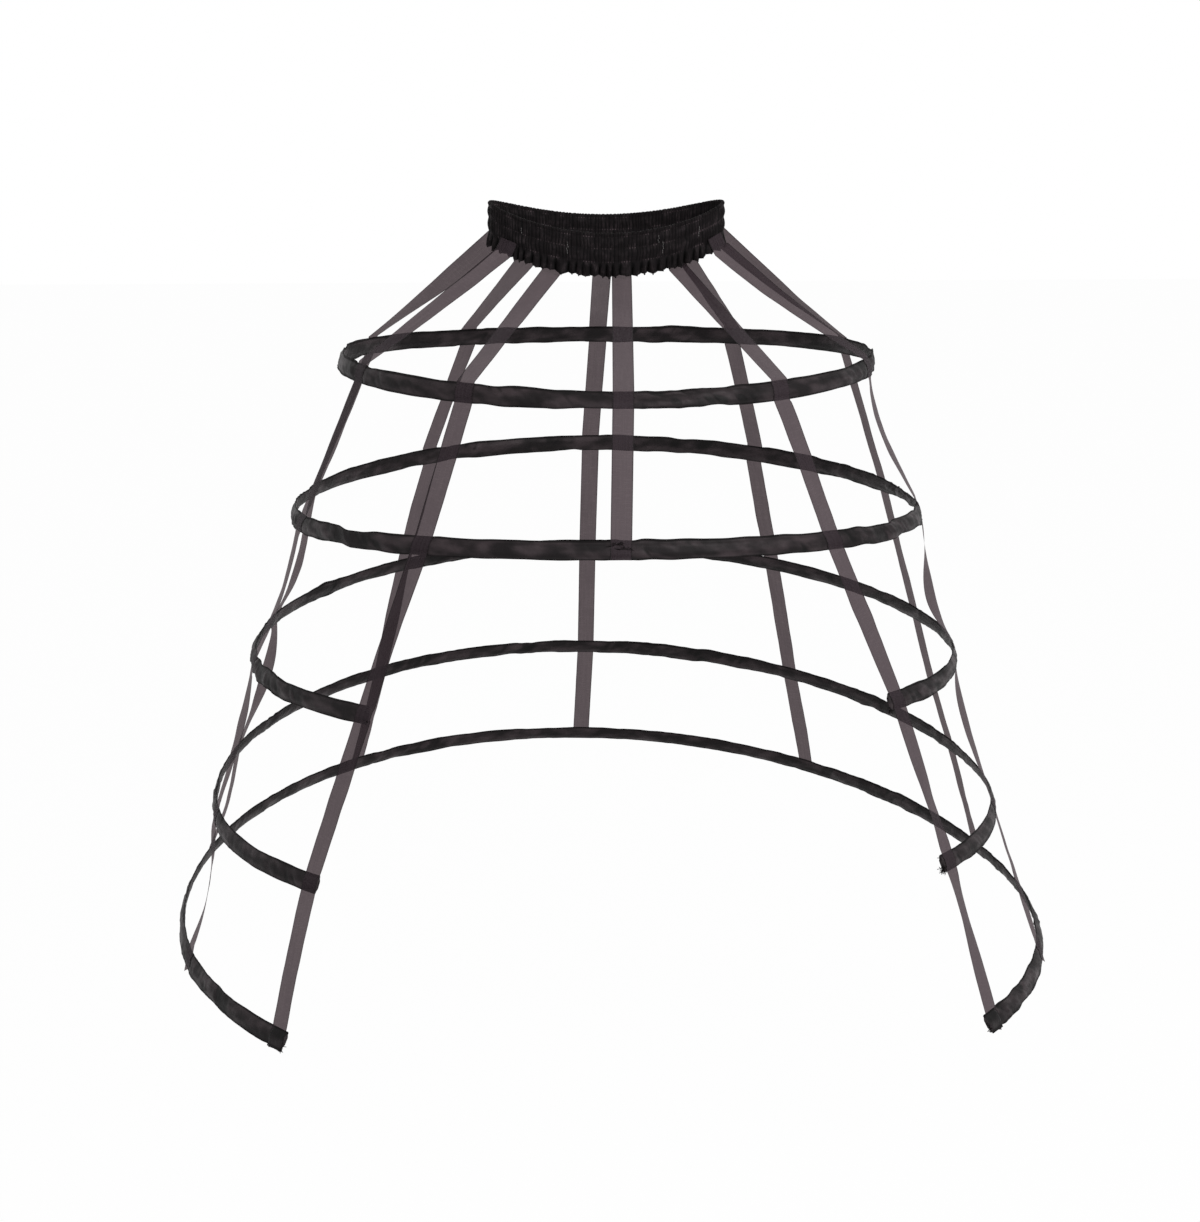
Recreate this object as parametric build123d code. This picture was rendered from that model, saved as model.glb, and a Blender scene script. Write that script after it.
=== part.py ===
from build123d import *
import os
from dataclasses import dataclass
from math import ceil, cos, radians, sin, sqrt, tan

# Crinoline cage: a gathered elastic waistband, ten sheer ribbons and five boned hoops, the lower three
# open in front. Millimetres. The origin is the middle of the waist opening, +Z is up and the open front faces -Y.
# Angles go round the cage in degrees from its front, anticlockwise seen from above.

# Waistband: satin gathered over a wide elastic, with a ruffle below the lowest gathering row
WAIST_HALF_WIDTH = 152
WAIST_HALF_DEPTH = 58
WAIST_SAG = -29            # the loop hangs from its two sides, and its front and back sag
WAIST_RISE = 8.8           # degrees, the back edge hangs higher than the front one
ELASTIC_ZONE = 37          # from the top edge to the lowest gathering row
RUFFLE = 19                # from that row to the hem
PLEATS = 72
SATIN = 0.8                # wall of every satin piece
ROW_PLEAT = 0.6            # how far a pleat stands proud at a gathering row
PUFF_PLEAT = 1.5           # and between two rows
PUFF_DROP = 0.26           # the upper puff's crest, as a part of that height
RUFFLE_WAVE = 3.6          # how far the hem swings in and out
HEM_STEP = 2.0             # how much lower the hem's outer folds hang
ELASTIC = 1.0              # thickness
ELASTIC_EDGE = 3.0         # from the top edge and the lowest row to the elastic
INNER_CLEARANCE = 0.15     # round everything that is slipped into a casing

# Boning: flat strip, joined by a crimped sleeve in the closed hoops and tipped in the open ones
BONE_WIDTH = 10
BONE_THICKNESS = 1.4
SLEEVE_WALL = 0.4
SLEEVE_LENGTH = 28
TIP_LENGTH = 14
TIP_END = 2.5              # closed end of a tip
BONE_GAP = 1.0             # between the two ends of a closed bone

# Hoop casings: satin tubes, sewn flat along both edges
CASING_HEIGHT = 23
CASING_EDGE = 1.0          # thickness of the sewn edges
CASING_JOIN = 1.2          # slit where the two ends of a closed casing meet
PUFF = 0.9                 # how much the satin swells and shrinks between the ribbons
SEWN_RUN = 44              # the casing lies straight over this length under each ribbon
LONGEST_RUN = 75           # of the straight runs that follow the oval between two ribbons
END_HEM = 2.0              # sewn-up end of an open casing
END_REACHES = {3: (17, 4), 4: (17, 12)}    # its right and left ends pass the front ribbons' middles by this
FOOT_MARGIN = 2.5          # and the lowest one passes the ribbon's edge by this, turned round its foot

# Ribbons: sheer, flat, sewn to the lowest gathering row and to the outside of each casing
RIBBON_WIDTH = 25
RIBBON = 0.4               # thickness
RIBBON_HEM = 1.5           # its top end, caught in the gathering row
SEWN_GAP = 0.02            # between two sewn faces


@dataclass
class Ring:
    """One level of the cage, an oval from above, that reaches further to the back than to the front."""
    drop: float            # below the waist opening, at the sides
    half_width: float
    front: float           # reach in front of the axis
    back: float            # reach behind the axis
    middle: float = 0      # how far behind the axis it is widest
    rise: float = 0        # degrees, the back hangs higher
    lift: float = 0        # the front and the back hang this much higher than the sides
    turn: float = 0        # degrees, the hoop hangs turned this much

    def at(self, angle):
        a = radians(angle - self.turn)
        reach = self.front + self.middle if cos(a) > 0 else self.back - self.middle
        y = self.middle - reach * cos(a)
        z = tan(radians(self.rise)) * y + self.lift * cos(a) ** 2 - self.drop
        return Vector(self.half_width * sin(a), y, z).rotate(Axis.Z, self.turn)

    def along(self, angle):
        return (self.at(angle + 0.5) - self.at(angle - 0.5)).normalized()

    def speed(self, angle):
        """Millimetres of hoop for each degree."""
        return (self.at(angle + 0.5) - self.at(angle - 0.5)).length


def waist_ring(drop):
    return Ring(drop, WAIST_HALF_WIDTH, WAIST_HALF_DEPTH, WAIST_HALF_DEPTH, rise=WAIST_RISE, lift=WAIST_SAG)


RINGS = [
    waist_ring(ELASTIC_ZONE),
    Ring(drop=202, half_width=349, front=356, back=334, rise=0.6, lift=-9),
    Ring(drop=402, half_width=415, front=403, back=440, rise=0.2, lift=18),
    Ring(drop=598, half_width=474, front=435, back=540, middle=20, rise=2.2, lift=17, turn=3.2),
    Ring(drop=797, half_width=531, front=501, back=630, middle=15, rise=3.2, lift=18, turn=4.6),
    Ring(drop=952, half_width=580, front=641, back=699, middle=-23, rise=3.1, lift=7, turn=6.6),
]
CLOSED_HOOPS = 2

# Where each ribbon is sewn by hand: the angle on the waistband, then on each hoop that it reaches
RIBBONS = {
    "front_centre": [0, 0, 0],
    "front_right": [34, 30, 41, 47, 51.5, 48.5],
    "side_right": [65, 73, 83, 83, 77.5, 72.5],
    "back_side_right": [113, 102, 108, 111, 110.5, 107.5],
    "back_right": [142, 144, 144, 144, 142.5, 141.5],
    "back_centre": [180, 178, 180, 179, 178.5, 178.5],
    "back_left": [218, 211, 215, 216, 216.5, 217.5],
    "back_side_left": [247, 248, 252, 253, 254.5, 254.5],
    "side_left": [295, 293, 286, 279, 280.5, 286.5],
    "front_left": [326, 328, 323, 318, 314.5, 312.5],
}

SLEEVE_HALF = BONE_THICKNESS / 2 + SLEEVE_WALL + INNER_CLEARANCE / 2
SLOT_HALF = SLEEVE_HALF + INNER_CLEARANCE
SLOT_HALF_HEIGHT = BONE_WIDTH / 2 + SLEEVE_WALL + INNER_CLEARANCE * 1.5
BELLY = SLOT_HALF + SATIN
BELLY_HALF_HEIGHT = SLOT_HALF_HEIGHT + 0.5 * SATIN
CREST = ELASTIC / 2 + INNER_CLEARANCE + SATIN + ROW_PLEAT


@dataclass
class Station:
    """A place on a hoop or ribbon: a point with three directions, and how much the satin swells there."""
    point: Vector
    along: Vector          # round the hoop
    up: Vector             # up the slope of the cage
    out: Vector            # away from the inside
    swell: float = 0

    def offset(self, along=0.0, up=0.0, out=0.0):
        return self.point + self.along * along + self.up * up + self.out * out

    def moved(self, along):
        return Station(self.offset(along), self.along, self.up, self.out)

    def outline(self, corners):
        return Wire.make_polygon([self.offset(out=u, up=v) for u, v in corners], close=True)

    def block(self, along, up, out):
        """A plain block, given by its two limits in each direction."""
        plane = Plane(origin=self.point, x_dir=self.along, z_dir=self.out)
        size = [pair[1] - pair[0] for pair in (along, up, out)]
        middle = [(pair[1] + pair[0]) / 2 for pair in (along, up, out)]
        return plane * (Pos(*middle) * Box(*size))


def station(level, angle, swell=0):
    ring = RINGS[level]
    here = ring.at(angle)
    along = ring.along(angle)
    slope = Vector(0, 0, 1)
    if level > 0:
        slope = (RINGS[level - 1].at(angle) - here).normalized()
    if 0 < level < len(RINGS) - 1:
        slope += (here - RINGS[level + 1].at(angle)).normalized()
    up = (slope - along * slope.dot(along)).normalized()
    return Station(here, along, up, along.cross(up), swell)


def sewn_angles(level):
    """Where the ribbons are sewn to a hoop, from the front round to the front again."""
    angles = sorted(angles[level] % 360 for angles in RIBBONS.values() if len(angles) > level)
    return angles + [360] if level <= CLOSED_HOOPS else angles


def hoop_stations(level, start, end):
    """Straight under each ribbon and following the oval between them. start and end are measured from
    the middle of the first and the last ribbon."""
    angles = sewn_angles(level)
    ring = RINGS[level]
    half = SEWN_RUN / 2
    stations = [station(level, angles[0]).moved(start), station(level, angles[0]).moved(half)]
    for here, there in zip(angles, angles[1:]):
        first = here + half / ring.speed(here)
        last = there - half / ring.speed(there)
        runs = ceil((last - first) * ring.speed((first + last) / 2) / LONGEST_RUN)
        for k in range(1, runs):
            angle = first + (last - first) * k / runs
            swell = PUFF * sin(2.4 * angle + 1.7 * level + 2.1 * k)
            stations.append(station(level, angle, swell))
        stations.append(station(level, there).moved(-half))
        stations.append(station(level, there).moved(half))
    stations[-1] = station(level, angles[-1]).moved(end)
    return stations


def tube(stations, corners):
    """Straight runs of one section, from station to station. corners gives the section for a swell."""
    return Solid.make_loft([s.outline(corners(s.swell)) for s in stations], ruled=True)


def rectangle(half_thickness, half_height):
    return [
        (half_thickness, half_height),
        (half_thickness, -half_height),
        (-half_thickness, -half_height),
        (-half_thickness, half_height),
    ]


def casing_outline(swell):
    """Two layers of satin, thin at the sewn edges and full over the bone."""
    edge = CASING_EDGE / 2
    height = (CASING_HEIGHT + swell) / 2
    belly = BELLY + 0.6 * abs(swell)
    half = [(edge, height), (belly, BELLY_HALF_HEIGHT), (belly, -BELLY_HALF_HEIGHT), (edge, -height)]
    return half + [(-u, v) for u, v in reversed(half)]


def lean(angles, level):
    """How far a ribbon moves sideways for each millimetre that it climbs across a hoop."""
    above = max(level - 1, 0)
    below = min(level + 1, len(angles) - 1)
    heading = RINGS[above].at(angles[above]) - RINGS[below].at(angles[below])
    sewn = station(level, angles[level])
    return heading.dot(sewn.along) / heading.dot(sewn.up)


def half_breadth(angles, level):
    """Half of a leaning ribbon's breadth, measured along the hoop."""
    return RIBBON_WIDTH / 2 * sqrt(1 + lean(angles, level) ** 2)


def end_reaches(level):
    """How far the two ends of an open casing reach past the middles of the front ribbons."""
    if level in END_REACHES:
        return END_REACHES[level]
    reaches = []
    for foot in (RIBBONS["front_right"], RIBBONS["front_left"]):
        sideways = abs(lean(foot, level)) * CASING_HEIGHT / 2
        reaches.append(half_breadth(foot, level) + sideways + FOOT_MARGIN)
    return reaches


def ends(level, inset=0.0, gap=0.0):
    """Start and end of a hoop's piece: inset from the sewn-up ends, or with a gap where the ends meet."""
    if level <= CLOSED_HOOPS:
        return gap / 2, -gap / 2
    start_reach, end_reach = end_reaches(level)
    return inset - start_reach, end_reach - inset


def end_stations(level):
    """The two ends of an open casing, as stations that look towards the hoop."""
    angles = sewn_angles(level)
    start, end = ends(level)
    first = station(level, angles[0]).moved(start)
    last = station(level, angles[-1]).moved(end)
    return first, Station(last.point, -last.along, last.up, last.out)


def foot_wrap(level):
    """The end of the lowest casing, turned round the ribbon's foot and sewn down on its outside."""
    inside = BELLY + SEWN_GAP + RIBBON + SEWN_GAP
    half = CASING_HEIGHT / 2
    wraps = []
    for end, reach in zip(end_stations(level), end_reaches(level)):
        flap = end.block((0, reach + RIBBON_WIDTH / 2), (-half, half), (inside, inside + SATIN))
        fold = end.block((0, 0.6 * FOOT_MARGIN), (-half, half), (0, inside + SATIN))
        wraps.append(flap + fold)
    return wraps


def hoop_casing(level):
    outside = tube(hoop_stations(level, *ends(level, gap=CASING_JOIN)), casing_outline)
    if level <= CLOSED_HOOPS:
        slot_ends = ends(level, gap=CASING_JOIN - 0.2)
    else:
        slot_ends = ends(level, inset=END_HEM)
    slot = tube(hoop_stations(level, *slot_ends), lambda swell: rectangle(SLOT_HALF, SLOT_HALF_HEIGHT))
    casing = outside - slot
    if level == len(RINGS) - 1:
        for wrap in foot_wrap(level):
            casing += wrap
    return casing


def hoop_bone(level):
    inset = END_HEM + INNER_CLEARANCE + TIP_END
    stations = hoop_stations(level, *ends(level, inset=inset, gap=BONE_GAP))
    return tube(stations, lambda swell: rectangle(BONE_THICKNESS / 2, BONE_WIDTH / 2))


def sleeve(end, start, length, closed):
    """A flat metal or plastic sleeve round a bone's end, measured along the hoop from an end station."""
    clear = INNER_CLEARANCE / 2
    outer_up = BONE_WIDTH / 2 + SLEEVE_WALL + clear
    outer = end.block((start, start + length), (-outer_up, outer_up), (-SLEEVE_HALF, SLEEVE_HALF))
    inner_up = BONE_WIDTH / 2 + clear
    inner_out = BONE_THICKNESS / 2 + clear
    bore = (start + closed, start + length) if closed else (start - 1, start + length + 1)
    return outer - end.block(bore, (-inner_up, inner_up), (-inner_out, inner_out))


def bone_joiner(level):
    return sleeve(station(level, 0), -SLEEVE_LENGTH / 2, SLEEVE_LENGTH, 0)


def bone_tips(level):
    return [sleeve(end, END_HEM + INNER_CLEARANCE, TIP_LENGTH, TIP_END) for end in end_stations(level)]


def skin(sections, ring=False):
    """A solid under small flats, stretched from each closed row of points to the next. In a ring the last
    section meets the first, and else the two end sections are filled in. Both faces of a wall are split
    the same way."""
    following = sections[1:]
    faces = []
    if ring:
        following.append(sections[0])
    else:
        faces = [Face(Wire.make_polygon(section, close=True)) for section in (sections[0], sections[-1])]
    for here, there in zip(sections, following):
        for k in range(len(here)):
            n = (k + 1) % len(here)
            if k < len(here) / 2:
                flats = ((here[k], here[n], there[n]), (here[k], there[n], there[k]))
            else:
                flats = ((here[k], here[n], there[k]), (here[n], there[n], there[k]))
            for corners in flats:
                faces.append(Face(Wire.make_polygon(corners, close=True)))
    return Solid(Shell(faces))


def ribbon(angles):
    """A flat strip, straight from one sewn place to the next, and lying on the casings and on the
    waistband's pleats."""
    hem_seat = CREST + (PUFF_PLEAT - ROW_PLEAT) * RIBBON_HEM / (PUFF_DROP * ELASTIC_ZONE)
    seats = [(RIBBON_HEM, hem_seat), (0, CREST)]
    half_height = CASING_HEIGHT / 2
    sections = []
    for level, angle in enumerate(angles):
        sewn = station(level, angle)
        half = half_breadth(angles, level)
        for up, seat in seats:
            middle = up * lean(angles, level)
            inner = seat + SEWN_GAP
            outer = inner + RIBBON
            edges = (middle - half, middle + half)
            corners = [(edges[0], inner), (edges[1], inner), (edges[1], outer), (edges[0], outer)]
            sections.append([sewn.offset(u, up, v) for u, v in corners])
        seats = [
            (half_height, CASING_EDGE / 2),
            (BELLY_HALF_HEIGHT, BELLY),
            (-BELLY_HALF_HEIGHT, BELLY),
            (-half_height, CASING_EDGE / 2),
        ]
    return skin(sections)


def even_angles(ring, count):
    """Angles that divide a ring into equal lengths."""
    fine = 1440
    reached = [0.0]
    for k in range(fine):
        reached.append(reached[-1] + ring.speed((k + 0.5) * 360 / fine) * 360 / fine)
    angles = []
    k = 0
    for n in range(count):
        while reached[k + 1] <= reached[-1] * n / count:
            k += 1
        share = (reached[-1] * n / count - reached[k]) / (reached[k + 1] - reached[k])
        angles.append((k + share) * 360 / fine)
    return angles


def loop(drop, offsets, angles):
    """A closed row of points round the waistband, each at its own distance out from the middle."""
    ring = waist_ring(drop)
    row = []
    for k, angle in enumerate(angles):
        out = ring.along(angle).cross(Vector(0, 0, 1)).normalized()
        row.append(ring.at(angle) + out * offsets[k % len(offsets)])
    return row


def waist_casing():
    """Satin drawn up into small pleats over the elastic, puffed between three gathering rows, with a
    wavy ruffle."""
    wall = CREST - ROW_PLEAT
    # Each row: drop, half thickness, how far the pleats stand proud, how far the whole band swings in and out
    rows = [
        (0, wall, ROW_PLEAT, 0),
        (PUFF_DROP * ELASTIC_ZONE, wall, PUFF_PLEAT, 0),
        (0.5 * ELASTIC_ZONE, wall, ROW_PLEAT, 0),
        ((1 - PUFF_DROP) * ELASTIC_ZONE, wall, PUFF_PLEAT, 0),
        (ELASTIC_ZONE, wall, ROW_PLEAT, 0),
        (ELASTIC_ZONE + RUFFLE, SATIN / 2, 0, RUFFLE_WAVE),
    ]
    angles = even_angles(RINGS[0], 2 * PLEATS)
    outer = []
    inner = []
    for drop, half, pleat, wave in rows:
        outer.append(loop(drop, [half + pleat + wave, half - wave], angles))
        inner.append(loop(drop, [wave - half - pleat, -wave - half], angles))
    for row in (outer[-1], inner[-1]):
        for k in range(0, len(row), 2):
            row[k] -= Vector(0, 0, HEM_STEP)
    band = skin(list(zip(*outer, *inner[::-1])), ring=True)
    return band - elastic_band(INNER_CLEARANCE)


def elastic_band(extra=0.0):
    half = ELASTIC / 2 + extra
    top = ELASTIC_EDGE - extra
    bottom = ELASTIC_ZONE - ELASTIC_EDGE + extra
    angles = even_angles(RINGS[0], PLEATS)
    corners = ((top, half), (bottom, half), (bottom, -half), (top, -half))
    return skin(list(zip(*[loop(drop, [offset], angles) for drop, offset in corners])), ring=True)


pieces = {"waist_casing": waist_casing(), "waist_elastic": elastic_band()}
for name, angles in RIBBONS.items():
    pieces["ribbon_" + name] = ribbon(angles)
for level in range(1, len(RINGS)):
    pieces[f"hoop_{level}_casing"] = hoop_casing(level)
    pieces[f"hoop_{level}_bone"] = hoop_bone(level)
    if level <= CLOSED_HOOPS:
        pieces[f"hoop_{level}_joiner"] = bone_joiner(level)
    else:
        for side, tip in zip(("right", "left"), bone_tips(level)):
            pieces[f"hoop_{level}_tip_{side}"] = tip

os.makedirs("parts", exist_ok=True)
for name, piece in pieces.items():
    export_step(piece, f"parts/{name}.step")
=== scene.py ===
import math

import bpy
import numpy as np
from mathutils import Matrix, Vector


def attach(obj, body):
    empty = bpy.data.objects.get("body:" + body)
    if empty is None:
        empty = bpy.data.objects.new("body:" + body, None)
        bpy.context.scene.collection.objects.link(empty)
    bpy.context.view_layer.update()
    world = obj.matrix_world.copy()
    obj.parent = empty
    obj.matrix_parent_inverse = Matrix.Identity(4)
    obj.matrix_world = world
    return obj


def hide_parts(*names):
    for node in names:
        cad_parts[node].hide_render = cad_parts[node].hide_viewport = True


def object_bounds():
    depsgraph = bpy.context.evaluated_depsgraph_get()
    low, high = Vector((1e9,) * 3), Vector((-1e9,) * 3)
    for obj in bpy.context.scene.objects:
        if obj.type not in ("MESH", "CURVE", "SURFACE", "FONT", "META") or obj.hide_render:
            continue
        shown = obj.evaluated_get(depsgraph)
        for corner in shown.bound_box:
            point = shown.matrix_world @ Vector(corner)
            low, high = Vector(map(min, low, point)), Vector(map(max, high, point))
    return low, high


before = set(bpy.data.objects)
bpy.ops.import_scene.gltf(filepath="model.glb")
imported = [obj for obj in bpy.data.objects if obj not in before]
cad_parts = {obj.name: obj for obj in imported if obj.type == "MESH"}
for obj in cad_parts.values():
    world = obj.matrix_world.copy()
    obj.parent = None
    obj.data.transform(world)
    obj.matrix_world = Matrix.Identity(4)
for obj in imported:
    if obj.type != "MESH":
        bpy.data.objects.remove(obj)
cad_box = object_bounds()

# Camera. It looks at the cage's front from the height of the waist, a little from the left and downwards, through a
# long lens, so the hoops show as flat ovals.
IMAGE_HEIGHT = 1222
FOCAL = 2400                # pixels of that height
camera = bpy.data.objects.new("camera", bpy.data.cameras.new("camera"))
bpy.context.scene.collection.objects.link(camera)
bpy.context.scene.camera = camera
camera.data.sensor_width = 36
camera.data.lens = 36 * FOCAL / IMAGE_HEIGHT
camera.location = (-0.1995, -3.1617, 0.1508)
camera.rotation_euler = (math.radians(90 - 12.42), 0, math.radians(-3.61 + 0.152))

# Boning. Flat white plastic strips, 10 mm wide, bent into five ovals. The upper two are joined end to end by a crimped
# sleeve, and the lower three have a cap on each end. The waist's seam row is level 0, from which the cage hangs.
MM = 0.001


class Level:
    """An oval of the cage, given in millimetres and degrees. It hangs drop below the waistband's top, may reach
    further to the back than to the front, and may be tilted, bent and turned."""

    def __init__(self, drop, half_width, front, back, middle=0, rise=0, lift=0, turn=0):
        self.drop, self.half_width, self.front, self.back = drop * MM, half_width * MM, front * MM, back * MM
        self.middle, self.rise, self.lift, self.turn = middle * MM, math.radians(rise), lift * MM, math.radians(turn)

    def at(self, angle, lower=0.0):
        a = np.radians(angle) - self.turn
        reach = np.where(np.cos(a) > 0, self.front + self.middle, self.back - self.middle)
        x = self.half_width * np.sin(a)
        y = self.middle - reach * np.cos(a)
        z = np.tan(self.rise) * y + self.lift * np.cos(a) ** 2 - self.drop - lower
        c, s = math.cos(self.turn), math.sin(self.turn)
        return np.stack([c * x - s * y, s * x + c * y, z], axis=-1)

    def along(self, angle):
        return unit(self.at(angle + 0.5) - self.at(angle - 0.5))


def unit(v):
    return v / np.linalg.norm(v, axis=-1, keepdims=True)


WAIST_SEAM = 37             # the lowest gathering row, in millimetres below the waistband's top
WAIST_OVAL = {"half_width": 152, "front": 58, "back": 58, "rise": 8.8, "lift": -29}
LEVELS = [
    Level(WAIST_SEAM, **WAIST_OVAL),
    Level(202, 349, 356, 334, rise=0.6, lift=-9),
    Level(402, 415, 403, 440, rise=0.2, lift=18),
    Level(598, 474, 435, 540, middle=20, rise=2.2, lift=17, turn=3.2),
    Level(797, 531, 501, 630, middle=15, rise=3.2, lift=18, turn=4.6),
    Level(952, 580, 641, 699, middle=-23, rise=3.1, lift=7, turn=6.6),
]
HOOPS = range(1, 6)
CLOSED = 2                  # the upper hoops are whole rings
# The angle at which each ribbon is sewn to the waistband, then to each hoop, in degrees from the front round by the
# wearer's left, which is the right in the picture
RIBBONS = {
    "front_centre": [6, -0.4, -1.1],
    "front_right": [35, 33.2, 38, 47, 51.5, 49.8],
    "side_right": [65, 69, 83, 83, 77.5, 72.5],
    "back_side_right": [113, 108, 107.5, 106.5, 105, 106.7],
    "back_right": [142, 145.4, 144.2, 143, 141.9, 141.1],
    "back_centre": [180, 178.6, 179.5, 179, 178.5, 178.5],
    "back_left": [214, 211, 215, 216, 216.5, 217.5],
    "back_side_left": [240.5, 244, 252, 253, 254.5, 254.5],
    "side_left": [303, 294.5, 286, 279, 280.5, 286.5],
    "front_left": [332, 327.3, 324.2, 318.7, 314, 312.5],
}


def ease(x, low, high):
    t = np.clip((x - low) / (high - low), 0, 1)
    return t * t * (3 - 2 * t)


def upright(level, angle):
    """How far a casing hangs upright, from 0, where it leans with the ribbons, to 1."""
    from_front = np.abs((angle + 180) % 360 - 180)
    if level == 1:
        return 0.6 * ease(from_front, 6, 22)
    if level == 2:
        return 0.85 * ease(from_front, 100, 140)
    return 0 * from_front


def lie(level, angle):
    """Places on a hoop with three directions: along it, up the cage's slope, and out."""
    angle = np.asarray(angle, float)
    ring = LEVELS[level]
    here = ring.at(angle)
    along = ring.along(angle)
    slope = np.broadcast_to(np.array([0.0, 0.0, 1.0]), here.shape)
    if level > 0:
        slope = unit(LEVELS[level - 1].at(angle) - here)
    if 0 < level < 5:
        slope = slope + unit(here - LEVELS[level + 1].at(angle))
    share = upright(level, angle)[..., None]
    slope = unit(slope) * (1 - share) + np.array([0.0, 0.0, 1.0]) * share
    up = unit(slope - along * (slope * along).sum(-1, keepdims=True))
    return here, along, up, np.cross(along, up)


def evenly(level, start, end, step):
    """Angles at even steps of length between two angles, and the length reached at each, in metres."""
    fine = np.linspace(start, end, 4000)
    path = LEVELS[level].at(fine)
    reached = np.concatenate([[0], np.cumsum(np.linalg.norm(np.diff(path, axis=0), axis=1))])
    count = int(round(reached[-1] / step)) + 1
    length = np.linspace(0, reached[-1], count)
    return np.interp(length, reached, fine), length


def sewn_angles(level):
    return sorted(angles[level] for angles in RIBBONS.values() if len(angles) > level)


def degrees_for(level, angle, length):
    """How many degrees a length takes on a hoop."""
    return length / np.linalg.norm(LEVELS[level].at(angle + 0.5) - LEVELS[level].at(angle - 0.5))


# How far the right and the left end of an open casing reach past the front ribbons' middles
END_REACH = {3: (17 * MM, 5 * MM), 4: (17 * MM, 12 * MM), 5: (14 * MM, 13.5 * MM)}
BUTT_GAP = 0.1 * MM         # half of the gap where a closed casing's ends meet


def hoop_ends(level, inset=0.0):
    """The angles at which a casing, or a bone set in by inset, starts and ends."""
    if level <= CLOSED:
        gap = degrees_for(level, 0, BUTT_GAP + inset)
        return gap, 360 - gap
    first, last = sewn_angles(level)[0], sewn_angles(level)[-1]
    reach = END_REACH[level]
    return first - degrees_for(level, first, reach[0] - inset), last + degrees_for(level, last, reach[1] - inset)


def cloth(name, points, ring=(False, False), place=None, caps=False):
    """A mesh of quads over a grid of points [row, column]. ring says whether rows and columns meet their start.
    place is a vector for each point that the finish reads: lengthwise, across, and one more number. caps closes the
    first and the last row."""
    rows, columns = points.shape[:2]
    r = np.arange(rows if ring[0] else rows - 1)
    c = np.arange(columns if ring[1] else columns - 1)
    r, c = np.meshgrid(r, c, indexing="ij")
    r2, c2 = (r + 1) % rows, (c + 1) % columns
    faces = np.stack([r * columns + c, r * columns + c2, r2 * columns + c2, r2 * columns + c], axis=-1)
    faces = faces.reshape(-1, 4).tolist()
    if caps:
        faces += [list(range(columns))[::-1], list(range((rows - 1) * columns, rows * columns))]
    mesh = bpy.data.meshes.new(name)
    mesh.from_pydata(points.reshape(-1, 3).tolist(), [], faces)
    mesh.shade_smooth()
    if place is not None:
        layer = mesh.attributes.new("place", "FLOAT_VECTOR", "POINT")
        layer.data.foreach_set("vector", np.ascontiguousarray(place, dtype=np.float32).ravel())
    piece = bpy.data.objects.new(name, mesh)
    bpy.context.scene.collection.objects.link(piece)
    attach(piece, "root")
    return piece


class Wire:
    """A node's output. Arithmetic on it adds the nodes that work it out."""

    def __init__(self, finish, socket):
        self.finish, self.socket = finish, socket

    def math(self, operation, *others):
        return self.finish.node("ShaderNodeMath", {"operation": operation}, (self, *others))

    def __add__(self, other):
        return self.math("ADD", other)

    __radd__ = __add__

    def __sub__(self, other):
        return self.math("SUBTRACT", other)

    def __rsub__(self, other):
        return self.finish.node("ShaderNodeMath", {"operation": "SUBTRACT"}, (other, self))

    def __mul__(self, other):
        return self.math("MULTIPLY", other)

    __rmul__ = __mul__


class Finish:
    """The nodes of a material or of the world."""

    def __init__(self, holder):
        self.holder = holder
        self.holder.use_nodes = True
        self.tree = holder.node_tree
        self.tree.nodes.clear()

    def node(self, kind, settings=(), sockets=(), output=0):
        made = self.tree.nodes.new(kind)
        for name, value in dict(settings).items():
            setattr(made, name, value)
        pairs = sockets.items() if isinstance(sockets, dict) else enumerate(sockets)
        for name, value in pairs:
            if isinstance(value, Wire):
                self.tree.links.new(value.socket, made.inputs[name])
            else:
                made.inputs[name].default_value = value
        if made.outputs:
            return Wire(self, made.outputs[output])

    def place(self, scale=(1, 1, 1)):
        """The point's place on the cloth, in millimetres, stretched by scale."""
        spot = self.node("ShaderNodeAttribute", {"attribute_name": "place"}, output="Vector")
        stretch = [1000 * s for s in scale]
        return self.node("ShaderNodeVectorMath", {"operation": "MULTIPLY"}, (spot, stretch))

    def axes(self, vector):
        return [self.node("ShaderNodeSeparateXYZ", (), (vector,), output=k) for k in range(3)]

    def cloud(self, vector, scale, detail=2.0, roughness=0.5):
        """Soft noise from 0 to 1, about scale across."""
        sockets = {"Vector": vector, "Scale": 1 / scale, "Detail": detail, "Roughness": roughness}
        return self.node("ShaderNodeTexNoise", (), sockets)

    def between(self, value, low, high):
        """0 at low and 1 at high, smoothly, and level beyond."""
        settings = {"interpolation_type": "SMOOTHSTEP"}
        return self.node("ShaderNodeMapRange", settings, {"Value": value, "From Min": low, "From Max": high})

    def mix(self, share, first, second):
        sockets = {0: share, 6: first, 7: second}
        return self.node("ShaderNodeMix", {"data_type": "RGBA"}, sockets, output=2)

    def bump(self, height, strength, distance):
        return self.node("ShaderNodeBump", (), {"Strength": strength, "Distance": distance, "Height": height})

    def principled(self, colour, roughness, **others):
        sockets = {"Base Color": colour, "Roughness": roughness}
        sockets.update((name.replace("_", " "), value) for name, value in others.items())
        return self.node("ShaderNodeBsdfPrincipled", (), sockets)

    def end(self, shader):
        self.node("ShaderNodeOutputMaterial", (), {"Surface": shader})
        return self.holder


def new_finish(name):
    return Finish(bpy.data.materials.new(name))


def bone_finish():
    f = new_finish("white_boning")
    grain = f.cloud(f.node("ShaderNodeTexCoord", output="Object"), 0.004, 3)
    colour = f.mix(grain, (0.62, 0.61, 0.58, 1), (0.72, 0.71, 0.69, 1))
    return f.end(f.principled(colour, 0.35 + 0.15 * grain, Normal=f.bump(grain, 0.1, 0.0002)))


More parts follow.
